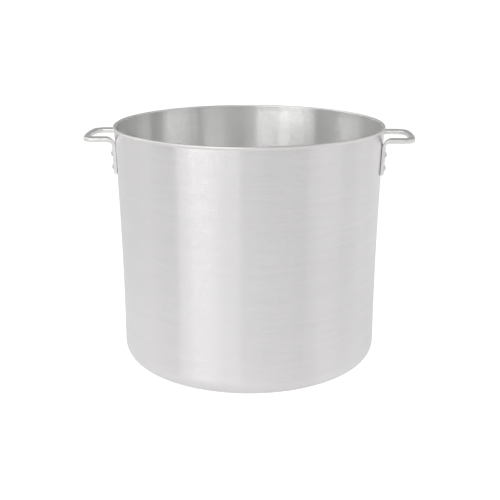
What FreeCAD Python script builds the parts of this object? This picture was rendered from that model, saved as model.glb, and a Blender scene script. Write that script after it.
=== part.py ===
import FreeCAD, Part
import math
import os

# A large two-handled aluminium stock pot, in millimetres.
# Origin: centre of the base's underside. +Z is up, the handles are at +X and -X, -Y is the front.

# Pot body
POT_HEIGHT = 457.0
RIM_RADIUS = 260.0
RIM_BEAD = 5.5            # thickness of the rounded bead that ends the wall
WALL = 3.5
BASE = 6.0
BASE_WALL_RADIUS = 247.0  # outside of the wall where it meets the base corner
BASE_CORNER = 30.0        # outside radius of the corner between base and wall
BEAD_STEP = 2.0           # how far the bead stands out from the wall
BEAD_FILLET = 1.5         # hollow under the bead
MOUTH_LAND = 10.0         # height of the straight, cylindrical inside of the mouth

# Loop handles
LOOP_DROP = 24.0          # rim's top down to the middle of the loop
BAR_THICKNESS = 9.0
FOOT_THICKNESS = 6.0
LEG_WIDTH = 23.0
LEG_SPACING = 108.0       # centre to centre of one handle's two legs
LOOP_REACH = 316.0        # pot axis to the outside of the grip
GRIP_WIDTH = 11.5
GRIP_INNER_RADIUS = 150.0
LOOP_OUTER_CORNER = 24.0
LOOP_INNER_CORNER = 10.0
BEND_RADIUS = 8.0         # inside of the bend from leg to foot
BAR_EDGE = 3.0            # rounding along the bar
FOOT_BELOW_RIVET = 13.0
FOOT_END_EDGE = 1.0       # rounding at the foot's lower end
SEAT_OVERLAP = 0.3        # what sits on a curved face starts this deep and is cut back to the face

# Rivets
RIVET_RADIUS = 3.2
RIVET_CLEARANCE = 0.05
RIVET_HEAD_RADIUS = 6.0
RIVET_HEAD_HEIGHT = 3.4
INNER_HEAD_RADIUS = 5.5
INNER_HEAD_HEIGHT = 2.4
UPPER_RIVET_DROP = 50.0   # rim's top down to the upper rivet
RIVET_PITCH = 25.4

# Worked out from the driving dimensions
WALL_TOP_RADIUS = RIM_RADIUS - BEAD_STEP
MOUTH_RADIUS = RIM_RADIUS - RIM_BEAD
BEAD_RADIUS = RIM_BEAD / 2
BEAD_CENTRE_RADIUS = RIM_RADIUS - BEAD_RADIUS
BEAD_CENTRE_Z = POT_HEIGHT - BEAD_RADIUS
WALL_TO_BEAD_CENTRE = WALL_TOP_RADIUS - BEAD_CENTRE_RADIUS
UNDER_BEAD_Z = BEAD_CENTRE_Z - math.sqrt(BEAD_RADIUS ** 2 - WALL_TO_BEAD_CENTRE ** 2)
WALL_TOP_Z = BEAD_CENTRE_Z - MOUTH_LAND
WALL_RISE = WALL_TOP_Z - BASE_CORNER
WALL_FLARE = WALL_TOP_RADIUS - BASE_WALL_RADIUS
SWEEP_RADIUS = (WALL_RISE ** 2 + WALL_FLARE ** 2) / (2 * WALL_FLARE)
LOOP_Z = POT_HEIGHT - LOOP_DROP
UPPER_RIVET_Z = POT_HEIGHT - UPPER_RIVET_DROP
LOWER_RIVET_Z = UPPER_RIVET_Z - RIVET_PITCH
FOOT_BOTTOM_Z = LOWER_RIVET_Z - FOOT_BELOW_RIVET
LEG_Y = LEG_SPACING / 2
OUTER_HALF_WIDTH = LEG_Y + LEG_WIDTH / 2
INNER_HALF_WIDTH = LEG_Y - LEG_WIDTH / 2

SIDES = ["left", "right"]
FEET = {"front": -1, "rear": 1}
RIVET_HEIGHTS = {"upper": UPPER_RIVET_Z, "lower": LOWER_RIVET_Z}
UP = FreeCAD.Vector(0, 0, 1)


def at(radius, height):
    """A point of a half section, which lies in the XZ plane."""
    return FreeCAD.Vector(radius, 0, height)


def line(start, end):
    return Part.makeLine(start, end)


def arc(start, middle, end):
    return Part.Arc(start, middle, end).toShape()


def corner_middle(centre, radius, degrees):
    """The point of a circle in the XZ plane at an angle from the radial direction."""
    angle = math.radians(degrees)
    return centre + FreeCAD.Vector(radius * math.cos(angle), 0, radius * math.sin(angle))


def revolved(edges):
    """The solid that a closed half section makes around the pot's axis."""
    face = Part.Face(Part.Wire(edges))
    return face.revolve(FreeCAD.Vector(0, 0, 0), UP, 360)


def wall_radius(height, depth=0.0):
    """Radius of the swept wall at a height, a depth under its outside face.

    The wall is an arc of a very large circle. It is upright at the base corner and leans out
    towards the rim.
    """
    centre = BASE_WALL_RADIUS + SWEEP_RADIUS
    return centre - math.sqrt((SWEEP_RADIUS + depth) ** 2 - (height - BASE_CORNER) ** 2)


def wall_lean(height):
    """Angle between the wall and the vertical at a height, in radians."""
    return math.asin((height - BASE_CORNER) / SWEEP_RADIUS)


def outside_edges():
    """The pot's outside from the centre of the base to the top of the wall's arc."""
    flat_end = at(BASE_WALL_RADIUS - BASE_CORNER, 0)
    corner_centre = at(BASE_WALL_RADIUS - BASE_CORNER, BASE_CORNER)
    wall_start = at(BASE_WALL_RADIUS, BASE_CORNER)
    wall_end = at(WALL_TOP_RADIUS, WALL_TOP_Z)
    wall_middle_z = (BASE_CORNER + WALL_TOP_Z) / 2
    wall_middle = at(wall_radius(wall_middle_z), wall_middle_z)
    return [
        line(at(0, 0), flat_end),
        arc(flat_end, corner_middle(corner_centre, BASE_CORNER, -45), wall_start),
        arc(wall_start, wall_middle, wall_end),
    ]


def bead_edges():
    """The short straight wall, the full round bead and the straight inside of the mouth."""
    centre = at(BEAD_CENTRE_RADIUS, BEAD_CENTRE_Z)
    under_bead = at(WALL_TOP_RADIUS, UNDER_BEAD_Z)
    outer = at(RIM_RADIUS, BEAD_CENTRE_Z)
    inner = at(MOUTH_RADIUS, BEAD_CENTRE_Z)
    top = at(centre.x, POT_HEIGHT)
    return [
        line(at(WALL_TOP_RADIUS, WALL_TOP_Z), under_bead),
        arc(under_bead, corner_middle(centre, BEAD_RADIUS, -30), outer),
        arc(outer, top, inner),
        line(inner, at(MOUTH_RADIUS, WALL_TOP_Z)),
    ]


def inside_edges():
    """The pot's inside from the mouth down to the centre of its floor."""
    inner_corner = BASE_CORNER - BASE
    inner_wall_radius = BASE_WALL_RADIUS - WALL
    corner_centre = at(inner_wall_radius - inner_corner, BASE_CORNER)
    wall_start = at(MOUTH_RADIUS, WALL_TOP_Z)
    wall_end = at(inner_wall_radius, BASE_CORNER)
    wall_middle_z = (BASE_CORNER + WALL_TOP_Z) / 2
    wall_middle = at(wall_radius(wall_middle_z, WALL), wall_middle_z)
    floor_edge = at(corner_centre.x, BASE)
    return [
        arc(wall_start, wall_middle, wall_end),
        arc(wall_end, corner_middle(corner_centre, inner_corner, -45), floor_edge),
        line(floor_edge, at(0, BASE)),
        line(at(0, BASE), at(0, 0)),
    ]


def circles_at(shape, radius, height):
    """The shape's circular edges around the pot's axis at one radius and height."""
    found = []
    for edge in shape.Edges:
        box = edge.BoundBox
        is_level = abs(box.ZMin - height) < 0.01 and abs(box.ZMax - height) < 0.01
        if is_level and abs(box.XMax - radius) < 0.01:
            found.append(edge)
    return found


def pot_shell():
    """The spun shell: base, wall and rim bead, before the rivet holes."""
    shell = revolved(outside_edges() + bead_edges() + inside_edges())
    return shell.makeFillet(BEAD_FILLET, circles_at(shell, WALL_TOP_RADIUS, UNDER_BEAD_Z))


def pot_envelope():
    """The pot's outside as one filled block, for seating the handles on the wall."""
    top = at(WALL_TOP_RADIUS, WALL_TOP_Z)
    axis_top = at(0, WALL_TOP_Z)
    return revolved(outside_edges() + [line(top, axis_top), line(axis_top, at(0, 0))])


def loop_section():
    """Ring around the pot with the handle's side view as its section: foot, bend and level leg."""
    reach = LOOP_REACH + LEG_WIDTH
    top_z = LOOP_Z + BAR_THICKNESS / 2
    under_z = LOOP_Z - BAR_THICKNESS / 2
    seat_z = (UPPER_RIVET_Z + LOWER_RIVET_Z) / 2
    lean = wall_lean(seat_z)
    face_distance = FOOT_THICKNESS / math.cos(lean)

    def foot_point(height, distance):
        radius = wall_radius(seat_z) + (height - seat_z) * math.tan(lean)
        return at(radius + distance, height)

    corners = [
        foot_point(FOOT_BOTTOM_Z, -SEAT_OVERLAP),
        foot_point(top_z, -SEAT_OVERLAP),
        at(reach, top_z),
        at(reach, under_z),
        foot_point(under_z, face_distance),
        foot_point(FOOT_BOTTOM_Z, face_distance),
    ]
    ring = revolved([line(a, b) for a, b in zip(corners, corners[1:] + corners[:1])])
    ring = ring.makeFillet(BEND_RADIUS, circles_at(ring, corners[4].x, under_z))
    return ring.makeFillet(BEND_RADIUS + BAR_THICKNESS, circles_at(ring, corners[1].x, top_z))


def end_plate(half_width, reach, end_radius, corner_radius):
    """Upright block whose far end is an arc with rounded corners; from above, a loop's outline."""
    start_x = BASE_WALL_RADIUS - BASE_CORNER
    low_z = FOOT_BOTTOM_Z - BAR_THICKNESS
    height = LOOP_Z + BAR_THICKNESS - low_z
    block_origin = FreeCAD.Vector(start_x, -half_width, low_z)
    block = Part.makeBox(reach - start_x, 2 * half_width, height, block_origin)
    end_centre = FreeCAD.Vector(reach - end_radius, 0, low_z)
    plate = block.common(Part.makeCylinder(end_radius, height, end_centre, UP))
    corners = []
    for edge in plate.Edges:
        box = edge.BoundBox
        is_upright = box.ZLength > height / 2 and box.XLength < 0.01
        is_at_side = abs(abs(box.YMin) - half_width) < 0.01
        if is_upright and is_at_side and box.XMin > start_x + 1:
            corners.append(edge)
    return plate.makeFillet(corner_radius, corners)


def handle_blank():
    """The right handle before its rivet holes: two feet, two bent legs and a narrower grip."""
    outline = end_plate(OUTER_HALF_WIDTH, LOOP_REACH, LOOP_REACH, LOOP_OUTER_CORNER)
    opening_reach = LOOP_REACH - GRIP_WIDTH
    opening = end_plate(INNER_HALF_WIDTH, opening_reach, GRIP_INNER_RADIUS, LOOP_INNER_CORNER)
    handle = loop_section().common(outline.cut(opening))
    long_edges = [edge for edge in handle.Edges if edge.BoundBox.ZMax > FOOT_BOTTOM_Z + 0.01]
    handle = handle.makeFillet(BAR_EDGE, long_edges)
    foot_ends = [edge for edge in handle.Edges if edge.BoundBox.ZMax < FOOT_BOTTOM_Z + 0.01]
    handle = handle.makeFillet(FOOT_END_EDGE, foot_ends)
    return handle.cut(pot_envelope())


def rivet_frame(foot, height):
    """Placement of one right-hand rivet: +Z points out of the wall, the origin is on its face."""
    radius = wall_radius(height)
    azimuth = math.asin(LEG_Y / (radius + FOOT_THICKNESS / 2)) * FEET[foot]
    across = FreeCAD.Rotation(FreeCAD.Vector(0, 1, 0), 90 + math.degrees(wall_lean(height)))
    around = FreeCAD.Rotation(UP, math.degrees(azimuth))
    base = FreeCAD.Vector(radius * math.cos(azimuth), radius * math.sin(azimuth), height)
    return FreeCAD.Placement(base, around.multiply(across))


def dome(radius, height):
    """A low rivet head on +Z, with a short rim below it that is cut back to the face it sits on."""
    sphere_radius = (radius ** 2 + height ** 2) / (2 * height)
    half_angle = math.asin(radius / sphere_radius) / 2
    middle_height = height - sphere_radius * (1 - math.cos(half_angle))
    middle = at(sphere_radius * math.sin(half_angle), middle_height)
    bottom = at(radius, -SEAT_OVERLAP)
    return revolved([
        line(at(0, -SEAT_OVERLAP), bottom),
        line(bottom, at(radius, 0)),
        arc(at(radius, 0), middle, at(0, height)),
        line(at(0, height), at(0, -SEAT_OVERLAP)),
    ])


def shank(radius):
    """The rivet's stem, from the middle of the inner head to the middle of the outer head."""
    start = -WALL - INNER_HEAD_HEIGHT / 2
    length = FOOT_THICKNESS + RIVET_HEAD_HEIGHT / 2 - start
    return Part.makeCylinder(radius, length, FreeCAD.Vector(0, 0, start), UP)


def rivet(placement, body, handle):
    """A rivet with a domed outer head and a lower head formed on the inside of the wall."""
    outer_head = dome(RIVET_HEAD_RADIUS, RIVET_HEAD_HEIGHT)
    outer_head.translate(FreeCAD.Vector(0, 0, FOOT_THICKNESS))
    inner_head = dome(INNER_HEAD_RADIUS, INNER_HEAD_HEIGHT)
    inner_head.rotate(FreeCAD.Vector(0, 0, 0), FreeCAD.Vector(1, 0, 0), 180)
    inner_head.translate(FreeCAD.Vector(0, 0, -WALL))
    outer_head = placed(outer_head, placement).cut(handle)
    inner_head = placed(inner_head, placement).cut(body)
    return outer_head.fuse([placed(shank(RIVET_RADIUS), placement), inner_head])


def placed(shape, placement):
    moved = shape.copy()
    moved.Placement = placement.multiply(moved.Placement)
    return moved


def turned(shape, side):
    """A right-hand piece as it is on the given side of the pot."""
    moved = shape.copy()
    if side == "left":
        moved.rotate(FreeCAD.Vector(0, 0, 0), UP, 180)
    return moved


def foot_on_right(side, foot):
    """Half a turn brings the right handle's rear foot to the front of the left side."""
    if side == "right":
        return foot
    return "rear" if foot == "front" else "front"


def save(name, shape):
    solid = shape.removeSplitter()
    if not solid.isValid():
        raise RuntimeError(name + " is not a valid solid")
    if len(solid.Solids) != 1:
        raise RuntimeError(name + " is not one solid")
    solid.Solids[0].exportStep("parts/" + name + ".step")


def build():
    os.makedirs("parts", exist_ok=True)
    body = pot_shell()
    handle = handle_blank()
    frames = {}
    for foot in FEET:
        for level, height in RIVET_HEIGHTS.items():
            frames[foot, level] = rivet_frame(foot, height)
    holes = [placed(shank(RIVET_RADIUS + RIVET_CLEARANCE), frame) for frame in frames.values()]
    drilled_handle = handle.cut(holes)
    drilled_body = body.cut(holes + [turned(hole, "left") for hole in holes])
    save("pot_body", drilled_body)
    for side in SIDES:
        save(side + "_handle", turned(drilled_handle, side))
        for foot in FEET:
            for level in RIVET_HEIGHTS:
                frame = frames[foot_on_right(side, foot), level]
                name = "_".join([side, "handle", foot, level, "rivet"])
                save(name, turned(rivet(frame, body, handle), side))


build()
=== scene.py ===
import math

import bmesh
import bpy
from mathutils import Matrix, Vector, noise


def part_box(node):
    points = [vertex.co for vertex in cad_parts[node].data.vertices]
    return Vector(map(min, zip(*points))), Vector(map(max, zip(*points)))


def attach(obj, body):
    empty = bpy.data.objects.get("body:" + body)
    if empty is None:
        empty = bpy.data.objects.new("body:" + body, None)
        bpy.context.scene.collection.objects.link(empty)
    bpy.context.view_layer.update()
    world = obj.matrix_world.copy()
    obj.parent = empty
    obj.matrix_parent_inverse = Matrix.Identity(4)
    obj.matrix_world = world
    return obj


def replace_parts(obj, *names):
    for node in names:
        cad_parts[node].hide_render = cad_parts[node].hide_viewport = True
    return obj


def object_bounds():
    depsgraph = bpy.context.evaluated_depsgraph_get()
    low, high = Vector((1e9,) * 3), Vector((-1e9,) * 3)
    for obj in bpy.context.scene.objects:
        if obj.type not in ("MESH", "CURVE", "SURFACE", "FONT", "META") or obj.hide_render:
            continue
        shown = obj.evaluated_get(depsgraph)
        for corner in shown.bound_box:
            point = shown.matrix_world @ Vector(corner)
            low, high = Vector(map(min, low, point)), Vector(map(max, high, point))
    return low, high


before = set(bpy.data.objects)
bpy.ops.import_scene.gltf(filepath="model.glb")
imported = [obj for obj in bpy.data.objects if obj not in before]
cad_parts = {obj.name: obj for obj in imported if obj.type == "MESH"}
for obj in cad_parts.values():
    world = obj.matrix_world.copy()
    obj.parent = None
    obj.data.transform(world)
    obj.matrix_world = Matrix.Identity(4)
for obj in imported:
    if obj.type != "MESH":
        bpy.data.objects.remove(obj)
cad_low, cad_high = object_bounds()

MM = 0.001

# Pot body, from the frame where the frame says it
POT_HEIGHT = cad_high.z
RIM_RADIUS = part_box("pot_body")[1].x
RIM_BEAD = 5.5 * MM
WALL = 3.5 * MM
BASE = 6 * MM
BASE_WALL_RADIUS = 247 * MM
BASE_CORNER = 30 * MM
BEAD_STEP = 2 * MM
BEAD_FILLET = 1.5 * MM
MOUTH_LAND = 10 * MM
BASE_DISH = 0.8 * MM
WALL_RIPPLE = 0.035 * MM
RIPPLE_FADE = 20 * MM     # the ripple dies out over this height at both ends of the wall

WALL_TOP_RADIUS = RIM_RADIUS - BEAD_STEP
MOUTH_RADIUS = RIM_RADIUS - RIM_BEAD
BEAD_RADIUS = RIM_BEAD / 2
BEAD_CENTRE_Z = POT_HEIGHT - BEAD_RADIUS
WALL_TOP_Z = BEAD_CENTRE_Z - MOUTH_LAND
WALL_RISE = WALL_TOP_Z - BASE_CORNER
WALL_FLARE = WALL_TOP_RADIUS - BASE_WALL_RADIUS
SWEEP_RADIUS = (WALL_RISE ** 2 + WALL_FLARE ** 2) / (2 * WALL_FLARE)

# Handles
HANDLE_LOW, HANDLE_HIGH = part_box("right_handle")
BAR_THICKNESS = 9 * MM
FOOT_THICKNESS = 6 * MM
LEG_WIDTH = 23 * MM
GRIP_WIDTH = 11.5 * MM
GRIP_INNER_RADIUS = 150 * MM
LOOP_OUTER_CORNER = 24 * MM
LOOP_INNER_CORNER = 10 * MM
BEND_RADIUS = 8 * MM
BAR_EDGE = 3 * MM
SEAT_EDGES = {"left": 0.6 * MM, "right": 2.6 * MM}  # the left feet are dressed flatter to the wall
FACE_CROWN = 0.25 * MM
FOOT_END_EDGE = 1 * MM
TUMBLE_DEPTH = 0.12 * MM
TUMBLE_START = 1 * MM     # distance off the wall where the tumbled skin begins
TUMBLE_FULL = 4 * MM      # and where it is at its full depth
LOOP_REACH = HANDLE_HIGH.x
OUTER_HALF_WIDTH = HANDLE_HIGH.y
INNER_HALF_WIDTH = OUTER_HALF_WIDTH - LEG_WIDTH
LOOP_Z = HANDLE_HIGH.z - BAR_THICKNESS / 2
FOOT_BOTTOM_Z = HANDLE_LOW.z

# Rivets
HOLE_RADIUS = 3.25 * MM
SHANK_RADIUS = 3.2 * MM
HEAD_RADIUS = 6 * MM
HEAD_HEIGHT = 3.4 * MM
INNER_HEAD_RADIUS = 5.5 * MM
INNER_HEAD_HEIGHT = 2.4 * MM
HEAD_RIM = 0.5 * MM       # upright edge of both heads
HEAD_SEAT = 0.05 * MM     # how far a head is pressed into the face it holds
CUTTER_OVERRUN = 12 * MM
RIVETS = [name for name in sorted(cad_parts) if name.endswith("rivet")]
RIVET_HEIGHTS = sorted(set(round((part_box(name)[0].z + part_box(name)[1].z) / 2, 4) for name in RIVETS))
SEAT_Z = sum(RIVET_HEIGHTS) / len(RIVET_HEIGHTS)

# Fineness of the meshes
SHELL_SEGMENTS = 384
RIVET_SEGMENTS = 48
HOLE_SEGMENTS = 40
SHARP_ANGLE = 38

# Camera: a long lens a little above the rim, seen slightly from the right
CAMERA_DISTANCE = 1.7781
CAMERA_HEIGHT = 0.7336
CAMERA_PITCH = 0.2264
CAMERA_TURN = 0.034
FOCAL_LENGTHS_PER_FRAME = 1.8652
SENSOR_WIDTH = 36.0
FRAME_SHIFT = (0.0016, -0.1194)
VIEW_LIMIT = 100


def wall_radius(height, depth=0.0):
    """Radius of the swept wall at a height, a depth under its outside face."""
    centre = BASE_WALL_RADIUS + SWEEP_RADIUS
    return centre - math.sqrt((SWEEP_RADIUS + depth) ** 2 - (height - BASE_CORNER) ** 2)


def wall_lean(height):
    return math.asin((height - BASE_CORNER) / SWEEP_RADIUS)


def arc_points(centre, radius, start, end, steps):
    """Points of an arc in the (radius, height) plane, angles in degrees, both ends included."""
    points = []
    for step in range(steps + 1):
        angle = math.radians(start + (end - start) * step / steps)
        points.append((centre[0] + radius * math.cos(angle), centre[1] + radius * math.sin(angle)))
    return points


def mesh_object(name, vertices, faces, material):
    mesh = bpy.data.meshes.new(name)
    mesh.from_pydata([tuple(v) for v in vertices], [], faces)
    mesh.validate()
    piece = bpy.data.objects.new(name, mesh)
    bpy.context.scene.collection.objects.link(piece)
    mesh.materials.append(material)
    shade_smooth(piece)
    return piece


def shade_smooth(piece):
    mesh = piece.data
    mesh.polygons.foreach_set("use_smooth", [True] * len(mesh.polygons))
    mesh.set_sharp_from_angle(angle=math.radians(SHARP_ANGLE))
    mesh.update()


def lathe(name, profile, segments, material):
    """Turns a (radius, height) profile round Z. It starts and ends on the axis."""
    vertices = [Vector((0, 0, profile[0][1]))]
    for radius, height in profile[1:-1]:
        for segment in range(segments):
            angle = 2 * math.pi * segment / segments
            vertices.append(Vector((radius * math.cos(angle), radius * math.sin(angle), height)))
    vertices.append(Vector((0, 0, profile[-1][1])))
    last = len(vertices) - 1
    rings = len(profile) - 2
    faces = []
    for segment in range(segments):
        following = (segment + 1) % segments
        faces.append((0, 1 + following, 1 + segment))
        for ring in range(rings - 1):
            low = 1 + ring * segments
            high = low + segments
            faces.append((low + segment, low + following, high + following, high + segment))
        top = 1 + (rings - 1) * segments
        faces.append((top + segment, top + following, last))
    return mesh_object(name, vertices, faces, material)


# ---------------------------------------------------------------- pot body


def outside_profile():
    """Underside, base corner and wall, from the axis to the top of the wall's arc."""
    flat_radius = BASE_WALL_RADIUS - BASE_CORNER
    points = [(0.0, BASE_DISH)]
    dish_steps = 40
    for step in range(1, dish_steps):
        share = step / dish_steps
        points.append((flat_radius * share, BASE_DISH * (1 - share ** 6)))
    points += arc_points((flat_radius, BASE_CORNER), BASE_CORNER, -90, 0, 28)
    steps = 110
    for step in range(1, steps + 1):
        height = BASE_CORNER + WALL_RISE * step / steps
        points.append((wall_radius(height), height))
    return points


def bead_profile():
    """The hollow under the bead and the full round bead."""
    bead_x = RIM_RADIUS - BEAD_RADIUS
    fillet_x = WALL_TOP_RADIUS + BEAD_FILLET
    fillet_z = BEAD_CENTRE_Z - math.sqrt((BEAD_RADIUS + BEAD_FILLET) ** 2 - (fillet_x - bead_x) ** 2)
    meet = math.degrees(math.atan2(BEAD_CENTRE_Z - fillet_z, bead_x - fillet_x))
    hollow = arc_points((fillet_x, fillet_z), BEAD_FILLET, 180, meet, 10)
    bead = arc_points((bead_x, BEAD_CENTRE_Z), BEAD_RADIUS, meet - 180, 180, 36)
    return hollow + bead[1:]


def inside_profile():
    """The straight land of the mouth, the wall's inside, the inner corner and the floor."""
    inner_corner = BASE_CORNER - BASE
    inner_wall_radius = BASE_WALL_RADIUS - WALL
    floor_radius = inner_wall_radius - inner_corner
    points = []
    land_steps = 6
    for step in range(1, land_steps + 1):
        points.append((MOUTH_RADIUS, BEAD_CENTRE_Z - MOUTH_LAND * step / land_steps))
    steps = 110
    for step in range(1, steps + 1):
        height = WALL_TOP_Z - WALL_RISE * step / steps
        points.append((wall_radius(height, WALL), height))
    points += arc_points((floor_radius, BASE_CORNER), inner_corner, 0, -90, 24)[1:]
    floor_steps = 40
    for step in range(1, floor_steps):
        points.append((floor_radius * (1 - step / floor_steps), BASE))
    points.append((0.0, BASE))
    return points


def ripple(piece):
    """The faint waves that spinning leaves in the wall: it only ever moves metal inwards."""
    for vertex in piece.data.vertices:
        x, y, z = vertex.co
        radius = math.hypot(x, y)
        if z < BASE_CORNER or z > WALL_TOP_Z:
            continue
        fade = min(1.0, (z - BASE_CORNER) / RIPPLE_FADE, (WALL_TOP_Z - z) / RIPPLE_FADE)
        place = Vector((x / radius * 3.0, y / radius * 3.0, z * 28))
        wave = noise.noise(place)
        depth = WALL_RIPPLE * (1 + wave) * fade
        vertex.co.x -= x / radius * depth
        vertex.co.y -= y / radius * depth


def pot_body(outer, rim, inner):
    outside = outside_profile()
    bead = bead_profile()
    profile = outside + bead + inside_profile()
    piece = lathe("pot_shell", profile, SHELL_SEGMENTS, outer)
    piece.data.materials.append(rim)
    piece.data.materials.append(inner)
    rim_start = len(outside)
    inside_start = len(outside) + len(bead) - 1
    spans = len(profile) - 1
    for index, polygon in enumerate(piece.data.polygons):
        span = index % spans
        polygon.material_index = (span >= rim_start) + (span >= inside_start)
    ripple(piece)
    return piece


# ---------------------------------------------------------------- handles


def bar_section(width, thickness=BAR_THICKNESS, seat_edge=BAR_EDGE):
    """(across, through) points round the bar's section.

    Across starts at the loop's inner edge. Through runs from the seat side to the open side.
    """
    half = thickness / 2
    edge = min(BAR_EDGE, 0.9 * half)
    corner_steps = 7
    flat_steps = 4
    corners = [
        (width - edge, half - edge, edge, 0),
        (edge, half - edge, edge, 90),
        (seat_edge, seat_edge - half, seat_edge, 180),
        (width - seat_edge, seat_edge - half, seat_edge, 270),
    ]
    rounded = []
    for across, through, radius, start in corners:
        rounded.append(arc_points((across, through), radius, start, start + 90, corner_steps))
    points = []
    for side, arc in enumerate(rounded):
        points += arc
        end = arc[-1]
        start = rounded[(side + 1) % 4][0]
        for step in range(1, flat_steps):
            share = step / flat_steps
            points.append((end[0] + (start[0] - end[0]) * share, end[1] + (start[1] - end[1]) * share))
    crowned = []
    for across, through in points:
        off_centre = abs(2 * across / width - 1)
        crowned.append((across, through * (1 - FACE_CROWN / half * off_centre ** 2)))
    return crowned


def bar_faces():
    """Pairs of (seat side, open side) points in the (radius, height) plane.

    They go up the foot and round the bend. The seat side follows the wall, then becomes the leg's top.
    """
    lean = wall_lean(SEAT_Z)
    bend_z = LOOP_Z - BAR_THICKNESS / 2 - BEND_RADIUS

    def face_radius(height):
        seat = wall_radius(SEAT_Z) + (height - SEAT_Z) * math.tan(lean)
        return seat + FOOT_THICKNESS / math.cos(lean)

    def bend(start_radius, bend_radius):
        centre = (start_radius + bend_radius / math.cos(lean), bend_z)
        return arc_points(centre, bend_radius, 180 - math.degrees(lean), 90, 16)

    seat_bend = bend(wall_radius(bend_z), BEND_RADIUS + BAR_THICKNESS)
    open_bend = bend(face_radius(bend_z), BEND_RADIUS)
    foot_steps = 26
    faces = []
    for step in range(foot_steps):
        height = FOOT_BOTTOM_Z + (open_bend[0][1] - FOOT_BOTTOM_Z) * step / foot_steps
        faces.append(((wall_radius(height), height), (face_radius(height), height)))
    return faces + list(zip(seat_bend, open_bend))


def loop_edges():
    """Pairs of (inner edge, outer edge) points in plan, from the end of a leg to the grip's middle."""
    outer_y = OUTER_HALF_WIDTH - LOOP_OUTER_CORNER
    outer_x = math.sqrt((LOOP_REACH - LOOP_OUTER_CORNER) ** 2 - outer_y ** 2)
    outer_turn = math.degrees(math.atan2(outer_y, outer_x))
    grip_x = LOOP_REACH - GRIP_WIDTH - GRIP_INNER_RADIUS
    inner_y = INNER_HALF_WIDTH - LOOP_INNER_CORNER
    inner_run = math.sqrt((GRIP_INNER_RADIUS - LOOP_INNER_CORNER) ** 2 - inner_y ** 2)
    inner_turn = math.degrees(math.atan2(inner_y, inner_run))
    corner_steps = 20
    grip_steps = 22
    outer = arc_points((outer_x, outer_y), LOOP_OUTER_CORNER, 90, outer_turn, corner_steps)
    outer += arc_points((0, 0), LOOP_REACH, outer_turn, 0, grip_steps)[1:]
    inner = arc_points((grip_x + inner_run, inner_y), LOOP_INNER_CORNER, 90, inner_turn, corner_steps)
    inner += arc_points((grip_x, 0), GRIP_INNER_RADIUS, inner_turn, 0, grip_steps)[1:]
    return list(zip(inner, outer))


def half_handle_rings(seat_edge):
    """Rings of points from the foot's end to the middle of the grip, on the +X, +Y side."""
    rings = []
    faces = bar_faces()
    end_steps = 4
    for step in range(end_steps):
        share = math.pi / 2 * step / end_steps
        inset = FOOT_END_EDGE * (1 - math.sin(share))
        rise = FOOT_END_EDGE * (1 - math.cos(share))
        rings.append(foot_ring(raised(faces[0], rise), inset, seat_edge))
    for seat, opening in faces:
        if seat[1] > FOOT_BOTTOM_Z + FOOT_END_EDGE / 2:
            rings.append(foot_ring((seat, opening), 0.0, seat_edge))
    edges = loop_edges()
    leg_steps = 10
    for step in range(1, leg_steps):
        rings.append(leg_ring(faces[-1], edges[0], step / leg_steps))
    for inner, outer in edges:
        rings.append(loop_ring(Vector(inner), Vector(outer)))
    return rings


def raised(pair, rise):
    """The pair of points moved up along the wall."""
    return tuple((radius + rise * math.tan(wall_lean(height)), height + rise) for radius, height in pair)


def foot_ring(pair, inset, seat_edge):
    """A section that stands on the round wall: every point keeps its distance from the pot's axis."""
    (seat_radius, seat_z), (open_radius, open_z) = pair
    thickness = min(math.hypot(open_radius - seat_radius, seat_z - open_z), BAR_THICKNESS)
    thickening = (thickness - FOOT_THICKNESS) / (BAR_THICKNESS - FOOT_THICKNESS)
    rounding = seat_edge + (BAR_EDGE - seat_edge) * min(1.0, max(0.0, thickening))
    ring = []
    for across, through in bar_section(LEG_WIDTH, thickness, rounding):
        y = INNER_HALF_WIDTH + across + (1 - 2 * across / LEG_WIDTH) * inset
        share = 0.5 + through / thickness * (1 - 2 * inset / thickness)
        radius = seat_radius + (open_radius - seat_radius) * share
        height = seat_z + (open_z - seat_z) * share
        ring.append(Vector((math.sqrt(radius ** 2 - y ** 2), y, height)))
    return ring


def leg_ring(bend_end, loop_end, share):
    """Between the bend, which is round about the pot's axis, and the loop's straight start."""
    seat_radius = bend_end[0][0]
    open_radius = bend_end[1][0]
    inner, outer = loop_end
    ring = []
    for across, through in bar_section(LEG_WIDTH):
        y = INNER_HALF_WIDTH + across
        radius = seat_radius + (open_radius - seat_radius) * (0.5 + through / BAR_THICKNESS)
        round_x = math.sqrt(radius ** 2 - y ** 2)
        straight_x = inner[0] + (outer[0] - inner[0]) * across / LEG_WIDTH
        ring.append(Vector((round_x + (straight_x - round_x) * share, y, LOOP_Z - through)))
    return ring


def loop_ring(inner, outer):
    """A section between an inner and an outer edge point of the loop, seen in plan."""
    width = (outer - inner).length
    ring = []
    for across, through in bar_section(width):
        place = inner + (outer - inner) * (across / width)
        ring.append(Vector((place.x, place.y, LOOP_Z - through)))
    return ring


def tumble(piece):
    """Tumbling leaves a casting very slightly uneven: metal only moves inwards, never at the seat."""
    for vertex in piece.data.vertices:
        x, y, z = vertex.co
        off_wall = math.hypot(x, y) - wall_radius(min(z, WALL_TOP_Z))
        weight = min(1.0, max(0.0, (off_wall - TUMBLE_START) / (TUMBLE_FULL - TUMBLE_START)))
        depth = TUMBLE_DEPTH * (1 + noise.noise(vertex.co * 90)) / 2
        vertex.co -= vertex.normal * depth * weight


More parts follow.
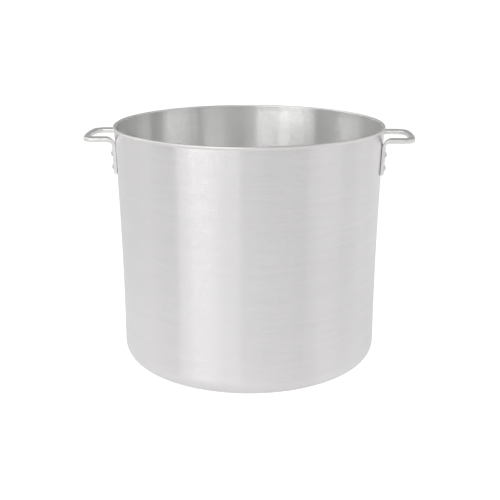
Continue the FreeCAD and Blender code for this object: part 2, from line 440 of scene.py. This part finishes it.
def handle(side, material):
    half = half_handle_rings(SEAT_EDGES[side])
    mirrored = [[Vector((p.x, -p.y, p.z)) for p in ring] for ring in reversed(half[:-1])]
    rings = half + mirrored
    count = len(rings[0])
    vertices = [point for ring in rings for point in ring]
    if side == "left":
        vertices = [Vector((-p.x, -p.y, p.z)) for p in vertices]
    faces = []
    for ring in range(len(rings) - 1):
        low = ring * count
        for point in range(count):
            following = (point + 1) % count
            faces.append((low + point, low + following, low + count + following, low + count + point))
    faces.append(tuple(reversed(range(count))))
    faces.append(tuple(range((len(rings) - 1) * count, len(rings) * count)))
    piece = mesh_object(side + "_loop_handle", vertices, faces, material)
    make_normals_outward(piece)
    tumble(piece)
    return piece


def make_normals_outward(piece):
    shape = bmesh.new()
    shape.from_mesh(piece.data)
    bmesh.ops.recalc_face_normals(shape, faces=shape.faces)
    shape.to_mesh(piece.data)
    shape.free()
    shade_smooth(piece)


# ---------------------------------------------------------------- rivets and their holes


def rivet_matrix(node):
    """Placement of a rivet: +Z points out of the wall and the origin is on the wall's face."""
    low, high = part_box(node)
    middle = (low + high) / 2
    height = min(RIVET_HEIGHTS, key=lambda level: abs(level - middle.z))
    side = math.copysign(1, middle.x)
    radius = wall_radius(height)
    leg_y = (OUTER_HALF_WIDTH + INNER_HALF_WIDTH) / 2
    azimuth = math.asin(leg_y / (radius + FOOT_THICKNESS / 2))
    across = side * math.cos(azimuth)
    along = math.copysign(math.sin(azimuth), middle.y)
    lean = wall_lean(height)
    outward = Vector((across * math.cos(lean), along * math.cos(lean), -math.sin(lean)))
    turn = outward.to_track_quat("Z", "Y").to_matrix().to_4x4()
    return Matrix.Translation(Vector((across * radius, along * radius, height))) @ turn


def rivet_profile():
    """Inner head, stem and domed outer head, as (radius, height) from the inner end to the outer."""
    crown = (HEAD_RADIUS ** 2 + HEAD_HEIGHT ** 2) / (2 * HEAD_HEIGHT)
    crown_edge = math.degrees(math.acos(HEAD_RADIUS / crown))
    outer_face = FOOT_THICKNESS - HEAD_SEAT
    inner_face = -WALL + HEAD_SEAT
    points = [(0.0, inner_face - INNER_HEAD_HEIGHT)]
    flat = INNER_HEAD_RADIUS - INNER_HEAD_HEIGHT
    points += [(flat * share, inner_face - INNER_HEAD_HEIGHT) for share in (0.3, 0.6, 0.85)]
    points += arc_points((flat, inner_face - HEAD_RIM), INNER_HEAD_HEIGHT - HEAD_RIM, -90, 0, 8)
    inner_rim = points[-1][0]
    points += [(inner_rim, inner_face), (SHANK_RADIUS, inner_face)]
    points += [(SHANK_RADIUS, outer_face), (HEAD_RADIUS, outer_face), (HEAD_RADIUS, outer_face + HEAD_RIM)]
    dome_centre = outer_face + HEAD_HEIGHT - crown
    dome = arc_points((0.0, dome_centre), crown, crown_edge, 90, 12)
    points += [(radius, height) for radius, height in dome[1:-1] if height > outer_face + HEAD_RIM]
    points.append((0.0, outer_face + HEAD_HEIGHT))
    return points


def rivet(node, material):
    piece = lathe(node + "_formed", rivet_profile(), RIVET_SEGMENTS, material)
    piece.data.transform(rivet_matrix(node))
    piece.data.update()
    return piece


def hole_cutter():
    """All eight rivet holes as one set of round bars, to be cut from the wall and the feet."""
    shape = bmesh.new()
    reach = FOOT_THICKNESS + WALL + CUTTER_OVERRUN
    for node in RIVETS:
        middle = Matrix.Translation(Vector((0, 0, (FOOT_THICKNESS - WALL) / 2)))
        bmesh.ops.create_cone(
            shape, cap_ends=True, segments=HOLE_SEGMENTS, radius1=HOLE_RADIUS, radius2=HOLE_RADIUS,
            depth=reach, matrix=rivet_matrix(node) @ middle,
        )
    mesh = bpy.data.meshes.new("hole_cutter")
    shape.to_mesh(mesh)
    shape.free()
    cutter = bpy.data.objects.new("hole_cutter", mesh)
    bpy.context.scene.collection.objects.link(cutter)
    return cutter


def drill(pieces):
    """Cuts the rivet holes, then applies the cut so that the mesh is final."""
    cutter = hole_cutter()
    for piece in pieces:
        cut = piece.modifiers.new("holes", "BOOLEAN")
        cut.operation = "DIFFERENCE"
        cut.solver = "EXACT"
        cut.object = cutter
        evaluated = piece.evaluated_get(bpy.context.evaluated_depsgraph_get())
        mesh = bpy.data.meshes.new_from_object(evaluated)
        piece.modifiers.clear()
        piece.data = mesh
    bpy.data.objects.remove(cutter)


# ---------------------------------------------------------------- materials


class Formula:
    """Writes shader formulas: each call adds one node and returns its output."""

    def __init__(self, tree):
        self.tree = tree

    def node(self, kind, **settings):
        made = self.tree.nodes.new(kind)
        for key, value in settings.items():
            setattr(made, key, value)
        return made

    def feed(self, socket, value):
        if isinstance(value, bpy.types.NodeSocket):
            self.tree.links.new(value, socket)
        else:
            socket.default_value = value

    def math(self, operation, *values):
        made = self.node("ShaderNodeMath", operation=operation)
        for socket, value in zip(made.inputs, values):
            self.feed(socket, value)
        return made.outputs[0]

    def vector_math(self, operation, *vectors, scale=None):
        made = self.node("ShaderNodeVectorMath", operation=operation)
        for socket, value in zip(made.inputs, vectors):
            self.feed(socket, value)
        if scale is not None:
            self.feed(made.inputs["Scale"], scale)
        return made.outputs[0]

    def vector_length(self, vector):
        made = self.node("ShaderNodeVectorMath", operation="LENGTH")
        self.feed(made.inputs[0], vector)
        return made.outputs["Value"]

    def vector(self, x, y, z):
        made = self.node("ShaderNodeCombineXYZ")
        for socket, value in zip(made.inputs, (x, y, z)):
            self.feed(socket, value)
        return made.outputs[0]

    def split(self, vector):
        made = self.node("ShaderNodeSeparateXYZ")
        self.feed(made.inputs[0], vector)
        return made.outputs[0], made.outputs[1], made.outputs[2]

    def fade(self, value, start, end, low=0.0, high=1.0):
        """Goes smoothly from low to high as value goes from start to end."""
        made = self.node("ShaderNodeMapRange", interpolation_type="SMOOTHSTEP")
        for socket, given in zip(made.inputs, (value, start, end, low, high)):
            self.feed(socket, given)
        return made.outputs[0]

    def noise(self, place, scale, detail, roughness):
        made = self.node("ShaderNodeTexNoise")
        self.feed(made.inputs["Vector"], place)
        made.inputs["Scale"].default_value = scale
        made.inputs["Detail"].default_value = detail
        made.inputs["Roughness"].default_value = roughness
        return made.outputs["Fac"]

    def tone(self, share, dark, light):
        """A colour between dark and light."""
        made = self.node("ShaderNodeMix", data_type="RGBA")
        self.feed(made.inputs["Factor"], share)
        made.inputs[6].default_value = (*dark, 1)
        made.inputs[7].default_value = (*light, 1)
        return made.outputs[2]

    def bump(self, height, strength, distance):
        made = self.node("ShaderNodeBump")
        self.feed(made.inputs["Height"], height)
        made.inputs["Strength"].default_value = strength
        made.inputs["Distance"].default_value = distance
        return made.outputs[0]


def new_material(name):
    material = bpy.data.materials.new(name)
    material.use_nodes = True
    material.node_tree.nodes.clear()
    return material, Formula(material.node_tree)


def finish_metal(f, color, roughness, normal, anisotropic=0.0, tangent=None):
    metal = f.node("ShaderNodeBsdfPrincipled")
    metal.inputs["Metallic"].default_value = 1.0
    f.feed(metal.inputs["Base Color"], color)
    f.feed(metal.inputs["Roughness"], roughness)
    f.feed(metal.inputs["Normal"], normal)
    metal.inputs["Anisotropic"].default_value = anisotropic
    metal.inputs["Anisotropic Rotation"].default_value = 0.25
    if tangent is not None:
        f.feed(metal.inputs["Tangent"], tangent)
    output = f.node("ShaderNodeOutputMaterial")
    f.feed(output.inputs["Surface"], metal.outputs[0])


def spun_aluminium(name, dark, light, roughness, ring_depth, groove_slope, anisotropic):
    """Aluminium brushed round the pot's axis.

    The sides of its fine grooves only lean up and down, so a reflection keeps its edges round the
    pot and is drawn out along its height.
    """
    material, f = new_material(name)
    place = f.node("ShaderNodeTexCoord").outputs["Object"]
    x, y, z = f.split(place)
    squares = f.math("ADD", f.math("MULTIPLY", x, x), f.math("MULTIPLY", y, y))
    radius = f.math("MAXIMUM", f.math("SQRT", squares), 1e-4)
    cosine = f.math("DIVIDE", x, radius)
    sine = f.math("DIVIDE", y, radius)
    along_profile = f.math("SUBTRACT", z, radius)

    def rings(pitch, arc_share):
        around = [f.math("MULTIPLY", value, arc_share) for value in (cosine, sine)]
        return f.vector(around[0], around[1], f.math("DIVIDE", along_profile, pitch))

    grooves = f.noise(rings(0.11 * MM, 40.0), 1.0, 3.0, 0.6)
    fine = f.noise(rings(2.5 * MM, 4.0), 1.0, 3.0, 0.6)
    broad = f.noise(rings(9 * MM, 1.5), 1.0, 2.0, 0.5)
    cloud = f.noise(place, 7.0, 3.0, 0.55)
    slow = f.math("ADD", f.math("MULTIPLY", broad, 0.35), f.math("MULTIPLY", cloud, 0.35))
    tone = f.math("ADD", f.math("MULTIPLY", fine, 0.3), slow)
    color = f.tone(f.fade(tone, 0.3, 0.7), dark, light)
    rough = f.fade(tone, 0.25, 0.75, roughness * 1.08, roughness * 0.92)
    tangent = f.vector(f.math("MULTIPLY", sine, -1.0), cosine, 0.0)
    face = f.bump(fine, 1.0, ring_depth)
    slope = f.math("MULTIPLY", f.math("SUBTRACT", grooves, 0.5), groove_slope)
    across = f.vector_math("CROSS_PRODUCT", face, tangent)
    tilt = f.vector_math("SCALE", across, scale=slope)
    normal = f.vector_math("NORMALIZE", f.vector_math("ADD", face, tilt))
    finish_metal(f, color, rough, normal, anisotropic, tangent)
    return material


def cast_aluminium(name, dark, light, roughness):
    """A tumbled casting: a soft even sheen with faint pits and polished high spots."""
    material, f = new_material(name)
    place = f.node("ShaderNodeTexCoord").outputs["Object"]
    grain = f.noise(place, 1400.0, 2.0, 0.5)
    blotch = f.noise(place, 60.0, 3.0, 0.55)
    color = f.tone(f.fade(blotch, 0.35, 0.65), dark, light)
    rough = f.fade(blotch, 0.3, 0.7, roughness * 1.12, roughness * 0.9)
    normal = f.bump(grain, 0.6, 0.02 * MM)
    finish_metal(f, color, rough, normal)
    return material


def outer_wall_metal():
    return spun_aluminium(
        "outer_wall", dark=(0.882, 0.866, 0.874), light=(0.912, 0.896, 0.904),
        roughness=0.22, ring_depth=0.004 * MM, groove_slope=1.6, anisotropic=1.0,
    )


def rim_metal():
    return spun_aluminium(
        "rim_bead", dark=(0.875, 0.86, 0.85), light=(0.93, 0.915, 0.905),
        roughness=0.42, ring_depth=0.002 * MM, groove_slope=0.5, anisotropic=0.2,
    )


def inner_wall_metal():
    return spun_aluminium(
        # Painted light: the inside gets a lighter tone than the same spun metal outside, to brighten the
        # pot's interior.
        "inner_wall", dark=(0.902, 0.90, 0.897), light=(0.932, 0.93, 0.927),
        roughness=0.22, ring_depth=0.004 * MM, groove_slope=1.6, anisotropic=1.0,
    )


def handle_metal():
    return cast_aluminium(
        # Partly painted light: the tone varies at random as a casting does, and the whole of it is lifted
        # above the metal's own to brighten the handles.
        "handle_casting", dark=(0.90, 0.895, 0.885), light=(0.965, 0.96, 0.945), roughness=0.38,
    )


def rivet_metal():
    return cast_aluminium(
        "rivet_metal", dark=(0.805, 0.80, 0.792), light=(0.895, 0.89, 0.878), roughness=0.34,
    )


# ---------------------------------------------------------------- stage, light and camera


# The floor's own glow, in metres from the pot's axis. It has painted light a little brighter near the pot:
# up to NEAR_REACH, fading out by FAR_REACH, and by NEAR_RIGHT_END to the right. The pool is a painted pool
# of light, a slightly brighter part past a straight line on the pot's right.
FLOOR_RADIUS = 40.0
FLOOR_GLOW = 0.515
FLOOR_EXTRA_FOR_CAMERA = 0.4
FLOOR_PAPER = 0.3
# Painted light: extra glow on the floor close to the pot.
PAINTED_NEAR_FLOOR_GLOW = 0.07
NEAR_REACH = 0.3
FAR_REACH = 1.3
NEAR_RIGHT_END = 0.45
# Painted pool of light on the floor, past the line on the pot's right.
PAINTED_POOL_GLOW = 0.045
POOL_AZIMUTH = 60
POOL_OFFSET = 0.118
POOL_EDGE = 0.01
POOL_FADE = 0.1


def floor_glow(f):
    """The floor's own glow: painted light a little stronger near the pot, and a painted pool of light past
    a line on its right.
    """
    place = f.node("ShaderNodeTexCoord").outputs["Object"]
    x, y, _ = f.split(place)

    def along(turn):
        return f.math("ADD", f.math("MULTIPLY", x, math.cos(turn)), f.math("MULTIPLY", y, math.sin(turn)))

    right = along(CAMERA_TURN)
    past_line = along(CAMERA_TURN + math.radians(POOL_AZIMUTH))
    close = f.fade(f.vector_length(place), FAR_REACH, NEAR_REACH)
    # Painted light near the pot, fading to the right.
    near = f.math("MULTIPLY", close, f.fade(right, NEAR_RIGHT_END, 0.0))
    # Painted pool of light past a straight line on the pot's right.
    past_edge = f.fade(past_line, -POOL_OFFSET - POOL_EDGE, POOL_EDGE - POOL_OFFSET)
    pool = f.math("MULTIPLY", past_edge, f.fade(right, 0.0, POOL_FADE))
    light = f.math("MULTIPLY_ADD", near, PAINTED_NEAR_FLOOR_GLOW, FLOOR_GLOW)
    return f.math("MULTIPLY_ADD", pool, PAINTED_POOL_GLOW, light)


def floor_material():
    """Plain white: it looks paper white to the camera. In reflections it shows an even glow, with painted
    light near the pot and a painted pool of light on its right, over a faint diffuse part.
    """
    material, f = new_material("plain_floor")
    paper = f.node("ShaderNodeBsdfDiffuse")
    paper.inputs["Color"].default_value = (FLOOR_PAPER, FLOOR_PAPER, FLOOR_PAPER, 1)
    glow = f.node("ShaderNodeEmission")
    seen = f.node("ShaderNodeLightPath").outputs["Is Camera Ray"]
    f.feed(glow.inputs["Strength"], f.math("MULTIPLY_ADD", seen, FLOOR_EXTRA_FOR_CAMERA, floor_glow(f)))
    both = f.node("ShaderNodeAddShader")
    f.feed(both.inputs[0], paper.outputs[0])
    f.feed(both.inputs[1], glow.outputs[0])
    output = f.node("ShaderNodeOutputMaterial")
    f.feed(output.inputs["Surface"], both.outputs[0])
    return material


def floor():
    shape = bmesh.new()
    bmesh.ops.create_circle(shape, cap_ends=True, segments=96, radius=FLOOR_RADIUS)
    mesh = bpy.data.meshes.new("floor")
    shape.to_mesh(mesh)
    shape.free()
    piece = bpy.data.objects.new("floor", mesh)
    bpy.context.scene.collection.objects.link(piece)
    mesh.materials.append(floor_material())


# Soft panels of the studio, seen from the pot. Azimuth 0 is towards the camera and + is to its right.
# start, end: azimuth in degrees.
# low, high: elevation in degrees. The soft values are half the width of an edge.
# glow is added to the room's own. A negative one is a dark card.
PANEL_FIELDS = ("start", "end", "soft_start", "soft_end", "low", "high", "soft_height", "glow")
PANELS = [
    (-64, -7, 0.8, 2.5, 7, 60, 7, 1.00),
    (-34, -7, 6, 2.5, 10, 80, 7, 0.55),
    (-60.8, -32, 0.5, 18, -30, 7, 7, 1.42),
    (-50, -28, 7, 10, -30, 14, 10, 1.02),
    (50, 84, 1, 1, 6, 40, 4, 0.64),
    (106, 122, 2, 5, 11, 60, 4, 1.15),
    (-135, -91, 8, 3, 11, 60, 4, 1.30),
    (-90, -61, 14, 1, -30, 9, 8, 0.26),
    (-6, 44, 3, 8, 4, 34, 6, 0.22),
    (-6, 12, 3, 8, 34, 80, 12, 1.25),
    (126, 232, 5, 6, 0, 8, 4, 0.50),
    (126, 232, 5, 6, 14, 50, 8, -0.15),
]
ROOM_GLOW = 0.50


def panel_light(f, azimuth, elevation, panel):
    around = f.math("WRAP", azimuth, panel["start"] + 330, panel["start"] - 30)
    past_start = f.fade(around, panel["start"] - panel["soft_start"], panel["start"] + panel["soft_start"])
    before_end = f.fade(around, panel["end"] + panel["soft_end"], panel["end"] - panel["soft_end"])
    soft = panel["soft_height"]
    above_low = f.fade(elevation, panel["low"] - soft, panel["low"] + soft)
    below_high = f.fade(elevation, panel["high"] + soft, panel["high"] - soft)
    across = f.math("MULTIPLY", past_start, before_end)
    upright = f.math("MULTIPLY", above_low, below_high)
    return f.math("MULTIPLY", f.math("MULTIPLY", across, upright), panel["glow"])


def studio_light():
    """A plain white backdrop for the camera; reflections see a grey room with soft light panels."""
    world = bpy.data.worlds.new("studio")
    world.use_nodes = True
    world.node_tree.nodes.clear()
    bpy.context.scene.world = world
    f = Formula(world.node_tree)
    x, y, z = f.split(f.node("ShaderNodeTexCoord").outputs["Generated"])
    azimuth = f.math("DEGREES", f.math("ARCTAN2", x, f.math("MULTIPLY", y, -1.0)))
    azimuth = f.math("SUBTRACT", azimuth, math.degrees(CAMERA_TURN))
    elevation = f.math("DEGREES", f.math("ARCSINE", z))
    light = ROOM_GLOW
    for values in PANELS:
        panel = dict(zip(PANEL_FIELDS, values))
        light = f.math("ADD", light, panel_light(f, azimuth, elevation, panel))
    seen = f.node("ShaderNodeLightPath").outputs["Is Camera Ray"]
    unseen = f.math("SUBTRACT", 1.0, seen)
    glow = f.node("ShaderNodeBackground")
    f.feed(glow.inputs["Strength"], f.math("MULTIPLY_ADD", light, unseen, seen))
    output = f.node("ShaderNodeOutputWorld")
    f.feed(output.inputs["Surface"], glow.outputs[0])


def camera():
    data = bpy.data.cameras.new("camera")
    data.sensor_width = SENSOR_WIDTH
    data.lens = SENSOR_WIDTH * FOCAL_LENGTHS_PER_FRAME
    data.shift_x, data.shift_y = FRAME_SHIFT
    data.clip_end = VIEW_LIMIT
    viewer = bpy.data.objects.new("camera", data)
    bpy.context.scene.collection.objects.link(viewer)
    viewer.location = (
        CAMERA_DISTANCE * math.sin(CAMERA_TURN),
        -CAMERA_DISTANCE * math.cos(CAMERA_TURN),
        CAMERA_HEIGHT,
    )
    viewer.rotation_euler = (math.pi / 2 - CAMERA_PITCH, 0, CAMERA_TURN)
    bpy.context.scene.camera = viewer


def build():
    casting = handle_metal()
    formed = rivet_metal()
    body = pot_body(outer_wall_metal(), rim_metal(), inner_wall_metal())
    loops = {side: handle(side, casting) for side in ("left", "right")}
    drill([body, *loops.values()])
    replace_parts(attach(body, "root"), "pot_body")
    for side, piece in loops.items():
        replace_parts(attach(piece, "root"), side + "_handle")
    for node in RIVETS:
        piece = rivet(node, formed)
        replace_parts(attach(piece, "root"), node)
    floor()
    studio_light()
    camera()
    bpy.context.scene.view_settings.view_transform = "Standard"
    bpy.context.scene.cycles.glossy_bounces = 10  # light crosses a deep bright pot many times


build()
